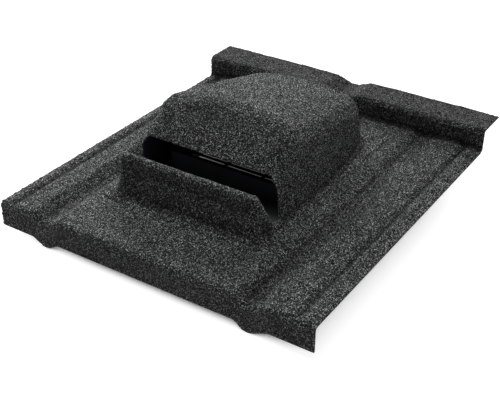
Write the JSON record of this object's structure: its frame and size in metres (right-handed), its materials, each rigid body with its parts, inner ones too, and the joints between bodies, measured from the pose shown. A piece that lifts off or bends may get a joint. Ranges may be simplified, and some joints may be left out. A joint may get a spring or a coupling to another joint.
{
  "type": "roof vent tile",
  "caption": "Stone-coated pressed steel roof tile with a raised vent hood, an open front mouth behind a low lip, and a duct collar with a screen under the hood.",
  "frame": {"origin": "under the middle of the tile, at the height of the lowest edge of its nose", "axes": "+X across the roof to the right seen from the eaves, +Y up the slope, +Z out of the roof; the pan lies level in this frame"},
  "size_m": [0.364, 0.4124, 0.1263],
  "materials": {
    "coated_steel": "charcoal stone granules bonded to pressed steel sheet, matt and rough",
    "collar_plastic": "moulded black plastic",
    "screen_plastic": "moulded black plastic"
  },
  "bodies": {
    "root": {"base_tile": "coated_steel", "vent_hood": "coated_steel", "duct_collar": "collar_plastic", "insect_screen": "screen_plastic"}
  },
  "joints": []
}
